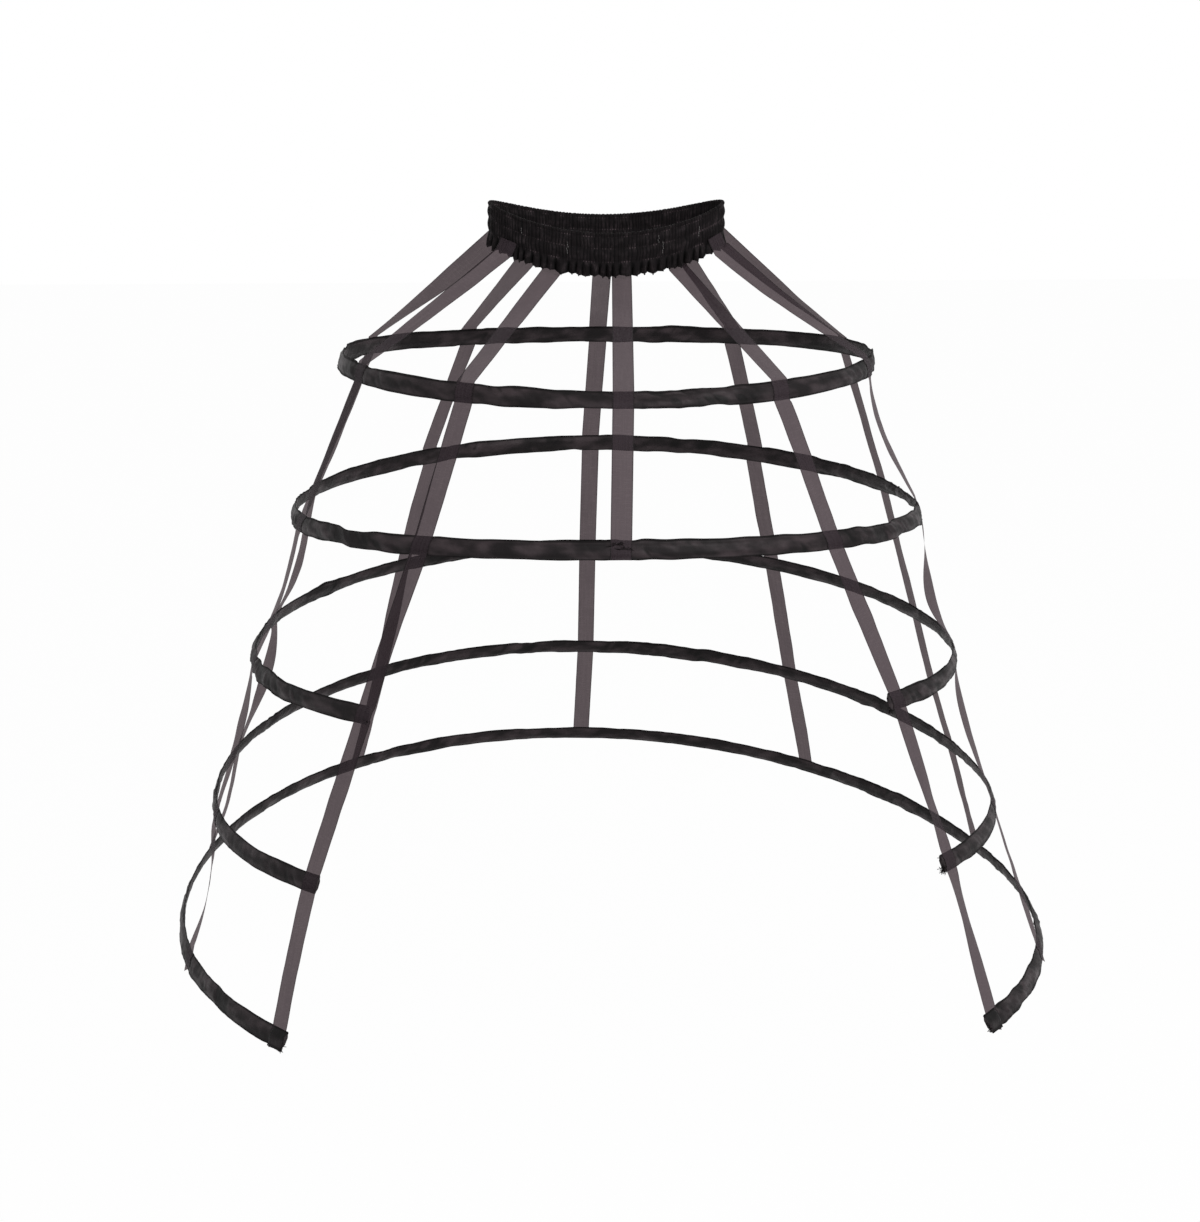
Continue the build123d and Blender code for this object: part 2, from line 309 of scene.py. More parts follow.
def steel_finish():
    f = new_finish("crimped_sleeve")
    streaks = f.cloud(f.node("ShaderNodeTexCoord", output="Object"), 0.0012, 4)
    colour = f.mix(streaks, (0.5, 0.5, 0.5, 1), (0.66, 0.66, 0.67, 1))
    return f.end(f.principled(colour, 0.28 + 0.2 * streaks, Metallic=1.0))


BONE = (1.4 * MM, 10 * MM)          # thickness and width
CAP = (2.1 * MM, 10.9 * MM)
SLEEVE = (2.24 * MM, 10.9 * MM)
SLEEVE_HALF_LENGTH = 14 * MM
CLOSED_INSET, OPEN_INSET = 0.5 * MM, 5 * MM    # from the casing's end to the bone's


def strip(name, level, angles, size, material, replaced):
    """A closed flat strip that follows a hoop, with eased edges."""
    here, along, up, out = lie(level, angles)
    quarter = [(0.5, 0.42), (0.42, 0.5)]
    half = quarter + [(-u, v) for u, v in quarter[::-1]]
    section = half + [(u, -v) for u, v in half[::-1]]
    points = [here + out * (u * size[0]) + up * (v * size[1]) for u, v in section]
    piece = cloth(name, np.stack(points, axis=1), ring=(False, True), caps=True)
    piece.data.materials.append(material)
    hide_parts(replaced)


white_plastic = bone_finish()
sleeve_metal = steel_finish()
for level in HOOPS:
    closed = level <= CLOSED
    ends = hoop_ends(level, CLOSED_INSET if closed else OPEN_INSET)
    angles, length = evenly(level, *ends, 8 * MM)
    strip(f"hoop_{level}_boning", level, angles, BONE, white_plastic, f"hoop_{level}_bone")
    if closed:
        reach = degrees_for(level, 0, SLEEVE_HALF_LENGTH)
        angles = np.linspace(-reach, reach, 9)
        strip(f"hoop_{level}_sleeve", level, angles, SLEEVE, sleeve_metal, f"hoop_{level}_joiner")
        continue
    for side, first, last in (("right", angles[0], angles[2]), ("left", angles[-3], angles[-1])):
        name, tip = f"hoop_{level}_cap_{side}", f"hoop_{level}_tip_{side}"
        strip(name, level, np.linspace(first, last, 5), CAP, white_plastic, tip)

# Hoop casings. Black satin folded round each bone and stitched along both edges, so that a flat margin stands above
# and below it. The satin is longer than the bone: it lies flat under each ribbon and wrinkles and puffs between them.
CASING_HEIGHT = 23 * MM
FULLER = {1: 1.05}          # the first hoop's casing is a little taller
BELLY = 2.3 * MM            # half of the thickness over the bone
EDGE = 0.5 * MM             # half of the thickness of the stitched margin
LAY_FLAT = 17 * MM          # the casing is flat this far to each side of a ribbon's middle
LOOSEST = 1.35              # the most that it bunches anywhere


def wander(x, pitch, seed):
    """A smooth random line between -1 and 1 that changes over about one pitch."""
    values = np.random.default_rng(seed).uniform(-1, 1, 4096)
    t = np.asarray(x) / pitch + 50.0
    k = np.floor(t).astype(int)
    f = t - k
    f = f * f * (3 - 2 * f)
    return values[k % 4096] * (1 - f) + values[(k + 1) % 4096] * f


def crumple(x, y, pitch_x, pitch_y, seed):
    """A smooth random surface between -1 and 1."""
    values = np.random.default_rng(seed).uniform(-1, 1, (4096, 64))
    tx, ty = np.asarray(x) / pitch_x + 50.0, np.asarray(y) / pitch_y + 20.0
    kx, ky = np.floor(tx).astype(int), np.floor(ty).astype(int)
    fx, fy = tx - kx, ty - ky
    fx, fy = fx * fx * (3 - 2 * fx), fy * fy * (3 - 2 * fy)
    a = values[kx % 4096, ky % 64] * (1 - fx) + values[(kx + 1) % 4096, ky % 64] * fx
    b = values[kx % 4096, (ky + 1) % 64] * (1 - fx) + values[(kx + 1) % 4096, (ky + 1) % 64] * fx
    return a * (1 - fy) + b * fy


def casing_half(up):
    """Half of a casing's thickness at a height above or below its middle."""
    return EDGE + (BELLY - EDGE) * (1 - ease(np.abs(up), 4.6 * MM, 8.6 * MM))


# Where a casing puffs up more than elsewhere: the hoop, the angle, how many degrees it spreads, and how much
PUFFS = [(2, 56, 7, 1.0), (1, 292, 6, 0.7), (1, 80, 9, 0.8), (2, 96, 12, 0.7), (1, 20, 8, 0.5), (3, 283, 16, 0.8),
         (2, 300, 10, 0.5), (1, 340, 9, 0.5)]


def looseness(level, angles, length):
    """Nearly 0 where a ribbon holds the casing flat, and more where the satin is bunched."""
    loose = 0.55 + 0.35 * wander(length, 90 * MM, 10 + level)
    for puff_level, angle, spread, amount in PUFFS:
        if puff_level == level:
            loose = loose + amount * np.exp(-(((angles - angle) / spread) ** 2))
    for angle in sewn_angles(level):
        away = np.abs((angles - angle + 180) % 360 - 180) / degrees_for(level, angle, 1)
        loose = loose * (0.08 + 0.92 * ease(away, 0.7 * LAY_FLAT, 1.5 * LAY_FLAT))
    return np.minimum(loose, LOOSEST)


def faded(value):
    """Black dye that has faded a little, to a dark purple-brown."""
    return (1.17 * value, 0.87 * value, 0.96 * value, 1)


def satin_finish(name, light=1.0):
    """Crumpled black satin, with painted sheen that lightens it in soft patches and painted shade that blackens the
    hollows of its folds and its stitched edges. light scales the whole colour, so that below 1 it paints shade.
    """
    f = new_finish(name)
    lengthwise, across, valley_shade = f.axes(f.place())
    slanted = f.node("ShaderNodeCombineXYZ", (), (0.8 * lengthwise + 0.9 * across, 1.6 * across - 0.2 * lengthwise))
    broad = f.cloud(f.place((0.32, 0.8, 0)), 26, 2, 0.5)
    sheen = f.between(0.5 * f.cloud(slanted, 22, 2, 0.4) + 0.5 * broad, 0.4, 0.66)
    fine = f.cloud(f.place((1.1, 0.45, 0)), 5, 3, 0.6)
    threads = f.cloud(f.place((0.12, 2.6, 0)), 1.2, 2)
    # Painted shade along the stitched edges, fuller at the top edge than at the bottom.
    edge_shade = f.between(across, 8.6, 10.2) + 0.8 * f.between(-1 * across, 9.4, 10.6)
    # Painted sheen: the colour is lighter in soft patches, which stand in for highlights on the crumpled satin.
    colour = f.mix(sheen * (0.65 + 0.35 * fine), faded(0.0055 * light), faded(0.037 * light))
    # Painted shade: the hollows of the folds are blackened.
    colour = f.mix(f.between(valley_shade, 0.1, 0.8) * 0.85, colour, faded(0.001))
    colour = f.mix(edge_shade * 0.85, colour, faded(0.002))
    bump = f.bump(fine * 0.8 + threads * 0.1, 0.5, 0.001)
    return f.end(f.principled(colour, 0.6 - 0.14 * sheen + 0.25 * edge_shade, Normal=bump, Specular_IOR_Level=0.14))


def section_around(count):
    """Points round a casing's outline, as shares of its half height, with the side they are on."""
    t = np.linspace(-1, 1, count)
    v = np.sin(t * np.pi / 2) * 0.35 + t * 0.65
    return np.concatenate([-v, v[1:-1]]), np.concatenate([np.ones(count), -np.ones(count - 2)])


satin = satin_finish("black_satin")
v, side = section_around(13)
for level in HOOPS:
    angles, length = evenly(level, *hoop_ends(level), 2.4 * MM)
    here, along, up, out = lie(level, angles)
    s = length[:, None]
    bunch = looseness(level, angles, length)[:, None]
    # The height varies and both edges wander.
    height = CASING_HEIGHT / 2 * FULLER.get(level, 1) * (1.01 + 0.12 * bunch * wander(s, 38 * MM, 20 + level))
    across = v * height
    slip = across + 1.7 * MM * bunch * wander(s + 0.4 * across, 25 * MM, 30 + level)
    # Both faces swell in folds, less towards the stitched edges, which ripple.
    folds = crumple(s + 0.8 * across, across + side * 0.1, 6.5 * MM, 16 * MM, 40 + level)
    broad = crumple(s, across + side * 0.1, 19 * MM, 12 * MM, 50 + level)
    swell = bunch * (1.3 * MM * broad + 1.0 * MM * folds + 0.6 * MM) * (1 - 0.75 * np.abs(v) ** 3)
    ripple = bunch * 0.9 * MM * wander(s, 9 * MM, 60 + level) * v ** 2
    push = side * (casing_half(slip) + np.maximum(swell, -0.9 * MM)) + ripple
    # The casing turns a little about its bone, which stays covered.
    turn = 0.2 * bunch * wander(s, 90 * MM, 70 + level)
    push, slip = push * np.cos(turn) - slip * np.sin(turn), push * np.sin(turn) + slip * np.cos(turn)
    over_bone = 1.5 * MM - np.maximum(0, np.abs(slip) - 6.2 * MM)
    push = side * np.maximum(side * push, over_bone)
    points = here[:, None] + out[:, None] * push[..., None] + up[:, None] * slip[..., None]
    lengthwise = s + level * 3.0 + np.where(side < 0, 0.05, 0) + 0 * across
    # How deep each point lies in a hollow of the folds, which the finish darkens as painted shade.
    valley_shade = np.clip(-0.9 * (broad + folds), 0, 1) * np.minimum(1.2 * bunch, 1)
    place = np.stack([lengthwise, across, valley_shade * MM], axis=-1)
    casing = cloth(f"hoop_{level}_satin", points, ring=(False, True), place=place, caps=True)
    casing.data.materials.append(satin)
    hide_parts(f"hoop_{level}_casing")

# Turned ends. The lowest casing's ends are folded round the feet of the two front ribbons and sewn down on the
# outside. They are the same satin, doubled and pressed flat, darkened in a copy as painted shade of the fold.
FOOT_OVER = 12 * MM         # how far past the ribbon's middle the fold reaches
FLAP_HALF = 12.6 * MM
# A copy of the satin darkened to three tenths, as painted shade.
shaded_fold_satin = satin_finish("shaded_fold_satin", 0.3)
for side, end in (("right", 0), ("left", 1)):
    inward = 1 - 2 * end
    reach = np.linspace(0, END_REACH[5][end] + FOOT_OVER, 15)
    angles = hoop_ends(5)[end] + inward * degrees_for(5, sewn_angles(5)[-end], reach)
    here, along, up, out = lie(5, angles)
    v = np.concatenate([np.linspace(1, -1, 9), np.linspace(-1, 1, 9)])
    layer = np.repeat([1.0, -1.0], 9)
    across = v * (FLAP_HALF + 0.5 * MM * wander(reach, 6 * MM, 81 + end)[:, None]) - 1.2 * MM
    lift = (casing_half(across) + 1.0 * MM + 0.4 * MM * layer) * ease(reach, -1.2 * MM, 1.5 * MM)[:, None]
    lift = lift + 0.5 * MM * crumple(reach[:, None], across, 7 * MM, 8 * MM, 83 + end)
    points = here[:, None] + out[:, None] * lift[..., None] + up[:, None] * across[..., None]
    place = np.stack([reach[:, None] + 0 * across, across, lift * 0], axis=-1)
    flap = cloth(f"hoop_5_turned_end_{side}", points, ring=(False, True), place=place, caps=True)
    flap.data.materials.append(shaded_fold_satin)
    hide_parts("hoop_5_casing")

# Frays. The satin is cut and not hemmed at the open casings' ends, and short black threads stand out of it there and
# at the foot of the front centre ribbon.
# Each tuft: the hoop, its right or left end, the height on the casing, how many threads, how long, in millimetres
FRAYS = [(3, 0, -10, 16, 6.5), (4, 0, -6, 22, 8.0), (4, 0, 9, 6, 6.0), (5, 0, -10, 9, 5.0), (5, 1, -10, 9, 5.0),
         (3, 1, -11, 4, 4.0)]
FRAY_RADIUS = 0.42 * MM


def threads(name, paths, radius, material):
    """Round threads, one along each row of points, in one mesh."""
    points, faces = [], []
    for path in paths:
        path = np.asarray(path)
        heading = unit(np.gradient(path, axis=0))
        side = unit(np.cross(heading, [0.31, 0.52, 0.8]))
        other = np.cross(heading, side)
        for turn in np.arange(5) * 0.4 * np.pi:
            points.append(path + radius * (side * math.cos(turn) + other * math.sin(turn)))
        first = sum(len(p) for p in points[:-5])
        n = len(path)
        starts = [first + a * n for a in range(5)]
        for a, b in zip(starts, starts[1:] + starts[:1]):
            faces += [(a + k, b + k, b + k + 1, a + k + 1) for k in range(n - 1)]
        faces.append(starts[::-1])
        faces.append([a + n - 1 for a in starts])
    mesh = bpy.data.meshes.new(name)
    mesh.from_pydata(np.concatenate(points).tolist(), [], faces)
    mesh.materials.append(material)
    piece = bpy.data.objects.new(name, mesh)
    bpy.context.scene.collection.objects.link(piece)
    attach(piece, "root")


def thread_finish(name, dark, pale):
    f = new_finish(name)
    fuzz = f.cloud(f.node("ShaderNodeTexCoord", output="Object"), 0.0012, 2)
    return f.end(f.principled(f.mix(fuzz, dark, pale), 0.8, Specular_IOR_Level=0.1))


def curl(start, heading, length, seed):
    """A short thread that wanders off from a point."""
    rng = np.random.default_rng(seed)
    t = np.linspace(0, 1, 7)[:, None]
    bends = rng.uniform(-1, 1, (2, 3)) * length * 0.45
    return start + heading * length * t + bends[0] * t ** 2 + bends[1] * np.sin(np.pi * t) * 0.5


frays = []
for number, (level, end, height, count, length) in enumerate(FRAYS):
    rng = np.random.default_rng(200 + number)
    here, along, up, out = lie(level, hoop_ends(level)[end])
    away = -along if end == 0 else along
    for k in range(count):
        v = np.clip(height + rng.uniform(-5, 5), -11.5, 11.5) * MM
        start = here + up * v + out * rng.uniform(-1.5, 2.5) * MM - away * 1 * MM
        heading = unit(away + up * rng.uniform(-0.9, 0.5) + out * rng.uniform(-0.2, 0.5))
        frays.append(curl(start, heading, length * rng.uniform(0.5, 1.2) * MM, 1000 * number + k))
rng = np.random.default_rng(250)
here, along, up, out = lie(2, RIBBONS["front_centre"][2])
for k in range(12):
    start = here + along * rng.uniform(-13, 9) * MM + up * rng.uniform(1, 9) * MM + out * (BELLY + 0.9 * MM)
    heading = unit(along * rng.choice([-1, 1]) + up * rng.uniform(-0.5, 0.4) + out * rng.uniform(0, 0.2))
    frays.append(curl(start, heading, rng.uniform(4, 9) * MM, 9000 + k))
threads("frayed_ends", frays, FRAY_RADIUS, thread_finish("black_thread", faded(0.002), faded(0.008)))

# Ribbons. Sheer black organza, 25 mm wide with denser woven edges, sewn by hand to the lowest gathering row of the
# waistband and to the outside of each casing. The front ones hang taut, and the side ones are slack and twist.
RIBBON_HALF = 12.8 * MM
RIBBON_COLUMNS = RIBBON_HALF * np.array([-1, -0.95, -0.8, -0.55, -0.28, 0, 0.28, 0.55, 0.8, 0.95, 1])
SEAT = 0.45 * MM            # from the casing's face to the middle of the ribbon
GRIP = 13.5 * MM            # the ribbon follows the casing this far above and below its middle
WAIST_SEAT = 3.4 * MM       # from the waistband's middle to the ribbon
RUFFLE = 19                 # the ruffle's height in millimetres
# How far each free stretch turns about its own length, in degrees, how far it sags out from the straight line, in
# millimetres, and where along the stretch that is most
TWISTS = {
    "front_right": [(0, 0, 0.5), (0, 2, 0.3), (5, 0, 0.5), (-14, 0, 0.7), (-14, 0, 0.25)],
    "side_right": [(0, -12, 0.5), (3, -11, 0.4), (32, -13, 0.6), (18, -9, 0.35), (3, 0, 0.5)],
    "back_side_right": [(0, -8, 0.5), (0, 0, 0.5), (4, 0, 0.5), (0, -2, 0.5), (5, 0, 0.5)],
    "back_side_left": [(0, -8, 0.5), (0, 0, 0.5), (8, -9, 0.6), (25, -8, 0.4), (0, -5, 0.5)],
    "side_left": [(0, -6, 0.5), (0, -1, 0.5), (3, -6, 0.5), (-12, -4, 0.4), (14, -9, 0.5)],
}
# How far a ribbon is turned where it leaves the waistband, in degrees
TOP_TURNS = {"back_side_left": 50, "side_right": 20, "back_side_right": -30, "back_left": 20}
# How far below the seam row it leaves the waistband, in millimetres. Those at the front come from under the ruffle.
LEAVES = {"back_side_left": 0, "back_side_right": 1, "front_centre": 21.5, "front_left": 21, "front_right": 20.5}
LEAVES_AT_HEM = 13


def organza_finish():
    """Sheer black cloth: dark threads with gaps between them that let through light, tinted by the threads."""
    f = new_finish("sheer_organza")
    across = f.axes(f.place())[1]
    streaks = f.cloud(f.place((0.03, 1.0, 1)), 1.8, 3, 0.6)
    slubs = f.cloud(f.place((2.0, 0.2, 1)), 2.4, 2)
    cloudy = f.cloud(f.place((0.4, 0.8, 1)), 26, 2)
    edge = f.between(across.math("ABSOLUTE"), 11.1, 12.1)
    shade = f.between(streaks * 0.6 + cloudy * 0.4, 0.35, 0.65)
    colour = f.mix(shade, (0.02, 0.013, 0.0165, 1), (0.027, 0.019, 0.023, 1))
    colour = f.mix(edge * 0.8, colour, faded(0.006))
    bump = f.bump(streaks * 0.6 + slubs * 0.4, 0.25, 0.0004)
    cover = 0.91 + 0.022 * shade + 0.035 * edge - 0.015 * f.between(slubs, 0.5, 0.7)
    weave = f.principled(colour, 0.65, Normal=bump, Specular_IOR_Level=0.15)
    gaps = f.node("ShaderNodeBsdfTransparent", (), {"Color": (1, 0.82, 0.86, 1)})
    return f.end(f.node("ShaderNodeMixShader", (), (cover, gaps, weave)))


def turned(vector, axis, angle):
    """vector turned about axis."""
    c, s = np.cos(angle)[..., None], np.sin(angle)[..., None]
    dot = (vector * axis).sum(-1, keepdims=True)
    return vector * c + np.cross(axis, vector) * s + axis * dot * (1 - c)


class Sewn:
    """Where a ribbon lies on the waistband or on a casing."""

    def __init__(self, angles, level, leaves=LEAVES_AT_HEM):
        self.level = level
        above, below = max(level - 1, 0), min(level + 1, len(angles) - 1)
        heading = LEVELS[above].at(np.array(angles[above])) - LEVELS[below].at(np.array(angles[below]))
        self.here, self.along, self.up, self.out = lie(level, angles[level])
        lean = (heading @ self.along) / (heading @ self.up) if level else 0
        self.down = -unit(self.up + lean * self.along)
        self.across = unit(self.along - lean * self.up)
        self.top = GRIP if level else 2.5 * MM
        self.foot = -GRIP if level else -leaves * MM
        self.inside = leaves > RUFFLE
        if level and level == len(angles) - 1:
            self.foot = -CASING_HEIGHT / 2

    def row(self, reach):
        """Points across the ribbon at a distance above the middle of the casing, following its face."""
        centre = self.here - self.down * (reach / -(self.down @ self.up))
        points = centre + self.across * RIBBON_COLUMNS[:, None]
        height = (points - self.here) @ self.up
        if self.level:
            off = casing_half(height) + SEAT
        else:
            off = WAIST_SEAT + 2.6 * MM * ease(-height, 0, 12 * MM)
            off = -off if self.inside else off
        return points + self.out * off[:, None]


def swing(t, peak):
    """0 at both ends of a stretch and 1 at its peak."""
    return np.sin(np.pi * t ** (math.log(0.5) / math.log(peak))) ** 2


def ribbon_rows(name, angles):
    """Rows of points down a whole ribbon: over the waistband, then by turns through the air and over a casing."""
    seed = 100 + 7 * list(RIBBONS).index(name)
    rng = np.random.default_rng(seed)
    spots = [Sewn(angles, level, LEAVES.get(name, LEAVES_AT_HEM)) for level in range(len(angles))]
    rows = []
    for k, spot in enumerate(spots):
        for reach in np.linspace(spot.top, spot.foot, 13 if k else 6):
            rows.append(spot.row(reach))
        if k == len(spots) - 1:
            break
        a, b = rows[-1], spots[k + 1].row(spots[k + 1].top)
        middle_a, middle_b = a.mean(axis=0), b.mean(axis=0)
        span = np.linalg.norm(middle_b - middle_a)
        count = int(span / (5 * MM))
        t = np.linspace(0, 1, count + 1)[1:-1]
        slack = [(rng.uniform(-6, 6), rng.uniform(-1, 2), 0.5) for _ in range(5)]
        twist, hang, peak = TWISTS.get(name, slack)[k]
        turn = np.radians(twist) * swing(t, peak)
        if k == 0:
            turn = turn + math.radians(TOP_TURNS.get(name, 0)) * np.cos(np.pi * t / 2) ** 2
        heading = unit(middle_b - middle_a)
        wa, wb = unit(a[-1] - a[0]), unit(b[-1] - b[0])
        w = unit(wa * (1 - t[:, None]) + wb * t[:, None])
        w = unit(w - heading * (w @ heading)[:, None])
        w = turned(w, heading, turn + 0.05 * np.sin(np.pi * t) * wander(t, 0.4, seed + k))
        face = np.cross(heading, w)
        outward = np.where((face @ spot.out) > 0, 1, -1)[:, None] * face
        sag = hang * MM * np.sin(np.pi * t ** (math.log(0.5) / math.log(peak)))
        ripple = 0.5 * MM * np.sin(np.pi * t) * wander(t, 0.13, seed + 20 + k)
        centre = middle_a * (1 - t[:, None]) + middle_b * t[:, None] + spot.out * sag[:, None]
        centre = centre + outward * ripple[:, None]
        cup = 0.5 * MM * (1 - (RIBBON_COLUMNS / RIBBON_HALF) ** 2)
        wave = 0.45 * MM * crumple(t[:, None], RIBBON_COLUMNS, 0.12, 9 * MM, seed + 40 + k)
        bow = np.sin(np.pi * t)[:, None] * (cup + wave)
        rows.extend(centre[:, None] + w[:, None] * RIBBON_COLUMNS[:, None] + outward[:, None] * bow[..., None])
    return np.array(rows)


organza = organza_finish()
for name, angles in RIBBONS.items():
    points = ribbon_rows(name, angles)
    steps = np.linalg.norm(np.diff(points[:, 5], axis=0), axis=1)
    length = np.concatenate([[0], np.cumsum(steps)])
    place = np.stack(np.broadcast_arrays(length[:, None], RIBBON_COLUMNS, 0.1 * list(RIBBONS).index(name)), axis=-1)
    ribbon = cloth(f"ribbon_{name}_organza", points, place=place)
    ribbon.data.materials.append(organza)
    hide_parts(f"ribbon_{name}")

# Waistband. A long strip of black satin folded over a wide elastic and drawn up by three gathering rows, into fine
# uneven pleats with a puff between two rows and a wavy ruffle below the lowest one.
ROWS = (5 * MM, 20 * MM, WAIST_SEAM * MM)
HEM = 56 * MM
ELASTIC_HALF = 0.5 * MM
waist_ring = Level(0, **WAIST_OVAL)
PLEATS = 158
FLUTES = 66                 # waves of the ruffle


def around_waist(count):
    """Angles at even steps round the waistband, with the length reached at each, in metres."""
    fine = np.linspace(0, 360, 8001)
    path = waist_ring.at(fine)
    reached = np.concatenate([[0], np.cumsum(np.linalg.norm(np.diff(path, axis=0), axis=1))])
    length = np.arange(count) * reached[-1] / count
    return np.interp(length, reached, fine), length, reached[-1]


def waist_surface(columns, drops, side):
    """Points over one face of the gathered band: side 1 is the outer face, -1 the inner one."""
    angles, length, whole = around_waist(columns)
    s = length[None, :]
    v = drops[:, None]
    turns = 2 * np.pi / whole
    near = np.searchsorted(ROWS, drops.clip(0, ROWS[-1] - 1e-6))
    lows = np.array([-6 * MM, *ROWS])[near][:, None]
    highs = np.array([*ROWS])[near.clip(0, 2)][:, None]
    puff = np.where(v <= ROWS[-1], np.sin(np.pi * np.clip((v - lows) / (highs - lows), 0, 1)), 0)
    # Fine pleats, uneven, that close up and split between two rows
    jitter = 1.5 * np.sin(s * turns * 11 + 0.4) + 1.1 * np.sin(s * turns * 29 + 2.0) + 0.8 * np.sin(s * turns * 53)
    drift = 1.3 * crumple(s, v, 13 * MM, 9 * MM, 5 + (side > 0)) * np.minimum(1, (whole - s) / (15 * MM))
    phase = PLEATS * s * turns + jitter + drift
    fine = np.abs(np.cos(phase / 2))
    # The ruffle below the lowest row, which opens out into waves
    low = ease(v, WAIST_SEAM * MM, HEM)
    ruffle = FLUTES * s * turns + 1.6 * np.sin(s * turns * 7 + 1) + 1.2 * np.sin(s * turns * 17) + 0.7 * low
    lively = 0.85 + 0.35 * np.sin(s * turns * 13 + 2) + 0.2 * np.sin(s * turns * 31)
    fade = 1 - ease(v, WAIST_SEAM * MM, WAIST_SEAM * MM + 9 * MM)
    wall = ELASTIC_HALF + 0.75 * MM
    thick = wall * (1 - low) + 0.45 * MM * low
    swell = 0.9 * MM * puff + (0.35 + 0.75 * puff + 0.6 * (1 - fade)) * MM * fine * (1 - 0.55 * low)
    opened = ease(v, WAIST_SEAM * MM - 1 * MM, WAIST_SEAM * MM + 5 * MM)
    sway = (0.4 + 4.0 * low * lively) * MM * (np.sin(ruffle) + 0.25 * np.sin(2 * ruffle + 1)) * opened
    sway = sway + 1.6 * MM * low
    slide = 1.5 * MM * low * np.sin(2 * ruffle)
    drop = v + low * (2.0 * MM * np.sin(ruffle) * lively + 1.0 * MM * np.sin(s * turns * 23 + 1.7) - 1 * MM)
    header = 1 - ease(v, 0, ROWS[0])
    drop = drop - header * 0.9 * MM * (fine - 0.5)
    edge = np.sqrt(np.clip(v / (2.2 * MM), 0, 1))
    ring = waist_ring.at(np.broadcast_to(angles[None, :] + np.degrees(slide * turns), drop.shape), drop)
    along = waist_ring.along(np.broadcast_to(angles[None, :], drop.shape))
    out = unit(np.cross(along, np.array([0.0, 0.0, 1.0])))
    points = ring + out * (side * (thick + swell) * (0.35 + 0.65 * edge) + sway)[..., None]
    # How deep each point lies in a pleat or a trough of the ruffle, which the finish darkens as painted shade.
    crease_shade = (1 - fine) * (1 - opened) + (0.5 - 0.5 * np.sin(ruffle)) * opened
    place = np.stack([np.broadcast_to(s, drop.shape) * 2.4, v * np.ones_like(drop), crease_shade * MM], axis=-1)
    return points, place


def gathered_finish():
    """Black satin, with painted shade at the bottoms of its pleats and ruffle waves, painted glints here and there,
    and pale ticks along the gathering rows, which are painted glints on the stitches.
    """
    f = new_finish("gathered_satin")
    lengthwise, drop, crease_shade = f.axes(f.place())
    patches = f.cloud(f.place((0.35, 1, 0)), 12, 2)
    creases = f.cloud(f.place((2.2, 0.3, 0)), 3.2, 3, 0.6)
    # Painted glints: lighter patches in the colour stand in for light caught by the satin.
    shine = f.between(patches, 0.42, 0.7)
    colour = f.mix(shine * f.between(creases, 0.4, 0.65), faded(0.0045), faded(0.022))
    # Painted shade at the bottoms of the pleats and of the ruffle's waves.
    colour = f.mix(f.between(crease_shade, 0.3, 0.9), colour, faded(0.0008))
    # Pale ticks on the gathering rows, shown only where a painted glint falls: painted glints on the stitches.
    rows = [1 - f.between((drop - row / MM).math("ABSOLUTE"), 0.4, 0.9) for row in ROWS]
    ticks = f.between(lengthwise.math("PINGPONG", 4.2), 2.2, 3.2)
    colour = f.mix((rows[0] + rows[1] + rows[2]) * ticks * shine, colour, faded(0.06))
    bump = f.bump(creases, 0.6, 0.0009)
    return f.end(f.principled(colour, 0.75 - 0.15 * shine, Normal=bump, Specular_IOR_Level=0.08))


def elastic_finish():
    f = new_finish("woven_elastic")
    spot = f.node("ShaderNodeTexCoord", output="Object")
    ribs = f.node("ShaderNodeTexWave", {"bands_direction": "Z"}, {"Vector": spot, "Scale": 160.0, "Distortion": 0.4})
    colour = f.mix(ribs, faded(0.012), faded(0.03))
    return f.end(f.principled(colour, 0.85, Normal=f.bump(ribs, 0.5, 0.0003)))


COLUMNS = 960
faces = []
for side, rows_above, rows_below in ((1, 28, 15), (-1, 16, 9)):
    drops = np.concatenate([
        np.linspace(0, WAIST_SEAM * MM, rows_above),
        np.linspace(WAIST_SEAM * MM, HEM, rows_below)[1:],
    ])
    faces.append([grid[::side] for grid in waist_surface(COLUMNS, drops, side)])
points, place = (np.concatenate(grids) for grids in zip(*faces))
band = cloth("waist_gathered_satin", points, ring=(True, True), place=place)
band.data.materials.append(gathered_finish())
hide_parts("waist_casing")
elastic = elastic_finish()
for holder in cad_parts["waist_elastic"].material_slots:
    holder.material = elastic

# Hand stitches. Rows of grey tacks that run down the front of the waistband, sewn by hand with one thread. Each row:
# the angle, how far below the top it starts and how long it is, in millimetres.
TACKS = [(-47, 12, 9), (-20.5, 15, 16), (24.5, 9, 12), (27, 18, 17), (50, 13, 14)]
TACK_PITCH, TACK_LENGTH, TACK_RADIUS = 2.6, 1.9, 0.3 * MM
tacks = []
for number, (angle, drop, length) in enumerate(TACKS):
    rng = np.random.default_rng(300 + number)
    for k in range(int(length / TACK_PITCH)):
        t = np.linspace(0, 1, 4)
        down = (drop + TACK_PITCH * k + TACK_LENGTH * t) * MM
        a = angle + rng.uniform(-0.25, 0.25) + 0.25 * k * rng.uniform(-0.4, 0.4)
        ring = waist_ring.at(np.full(4, a), down)
        face = unit(np.cross(waist_ring.along(a), np.array([0.0, 0.0, 1.0])))
        tacks.append(ring + face * (3.0 + 0.5 * np.sin(np.pi * t))[:, None] * MM)
grey_thread = thread_finish("grey_thread", (0.09, 0.085, 0.085, 1), (0.2, 0.19, 0.19, 1))
threads("hand_tacks", tacks, TACK_RADIUS, grey_thread)

# Floor and light. A pale floor well below the hanging cage, a white surround, a large soft lamp in front on the right
# and a weaker one on the left. The floor is seen almost white and still shows the cage's shadow faintly.
FLOOR_BELOW = 0.25
FLOOR_HALF = 14.0
FLOOR_WHITE = 0.975


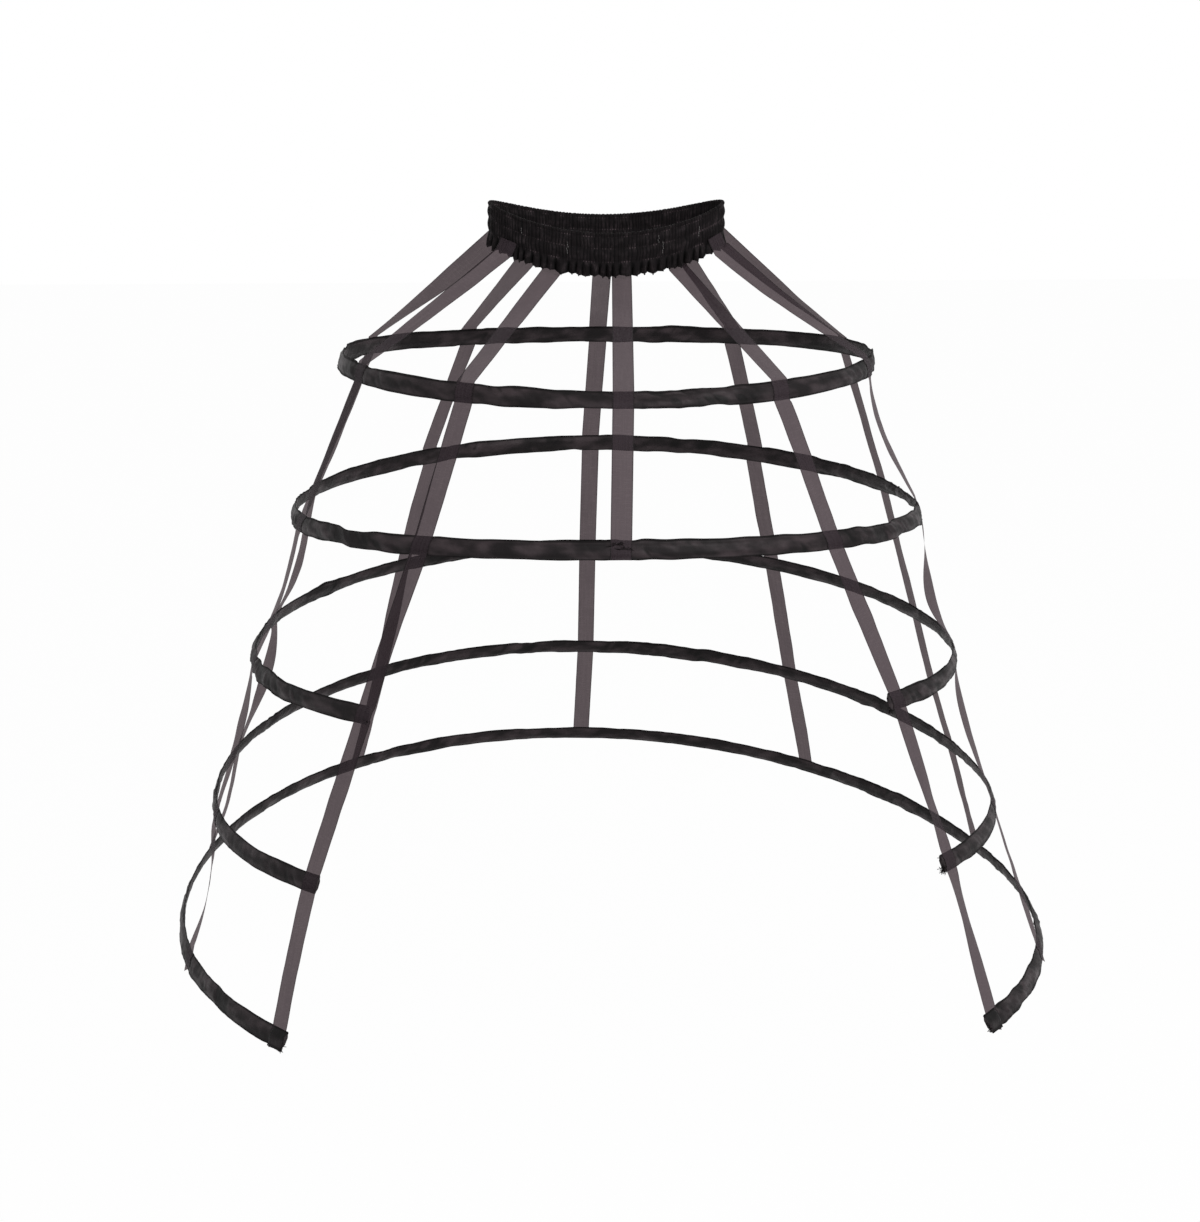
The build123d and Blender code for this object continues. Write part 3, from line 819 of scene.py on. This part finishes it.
def ray_share(f):
    """1 for what the camera sees directly or in a reflection."""
    names = ("Is Camera Ray", "Is Glossy Ray", "Is Transmission Ray")
    seen, mirrored, through = (f.node("ShaderNodeLightPath", output=name) for name in names)
    return f.node("ShaderNodeClamp", (), (seen + mirrored + through,))


floor_finish = new_finish("pale_floor")
mottle = floor_finish.cloud(floor_finish.node("ShaderNodeTexCoord", output="Object"), 0.8, 2)
floor_colour = floor_finish.mix(mottle, (0.93, 0.93, 0.93, 1), (0.96, 0.96, 0.96, 1))
floor_matte = floor_finish.node("ShaderNodeBsdfDiffuse", (), {"Color": floor_colour})
floor_white = floor_finish.node("ShaderNodeEmission", (), {"Color": (1, 1, 1, 1), "Strength": 1.0})
seen_white = ray_share(floor_finish) * FLOOR_WHITE
floor_shader = floor_finish.node("ShaderNodeMixShader", (), (seen_white, floor_matte, floor_white))
low = cad_box[0][2] - FLOOR_BELOW
mesh = bpy.data.meshes.new("floor")
corners = [(x, y, low) for y in (-FLOOR_HALF, FLOOR_HALF) for x in (-FLOOR_HALF, FLOOR_HALF)]
mesh.from_pydata(corners, [], [(0, 1, 3, 2)])
floor = bpy.data.objects.new("floor", mesh)
bpy.context.scene.collection.objects.link(floor)
floor.data.materials.append(floor_finish.end(floor_shader))

world = bpy.data.worlds.new("surround")
bpy.context.scene.world = world
surround = Finish(world)
strength = 0.4 + 0.6 * ray_share(surround)
background = surround.node("ShaderNodeBackground", (), {"Color": (1, 1, 1, 1), "Strength": strength})
surround.node("ShaderNodeOutputWorld", (), {"Surface": background})


def lamp(name, place, aim, size, watts):
    light = bpy.data.lights.new(name, "AREA")
    light.shape, light.size, light.energy = "DISK", size, watts
    holder = bpy.data.objects.new(name, light)
    holder.location = place
    direction = np.array(aim) - np.array(place)
    across, tall = math.atan2(-direction[0], direction[1]), math.atan2(direction[2], math.hypot(*direction[:2]))
    holder.rotation_euler = (math.pi / 2 + tall, 0, across)
    bpy.context.scene.collection.objects.link(holder)


lamp("lamp_right", (2.4, -3.8, 1.8), (0, 0, -0.5), 1.8, 155)
lamp("lamp_left", (-1.6, -4.2, 1.0), (0, 0, -0.5), 1.6, 28)
bpy.context.scene.view_settings.view_transform = "Standard"
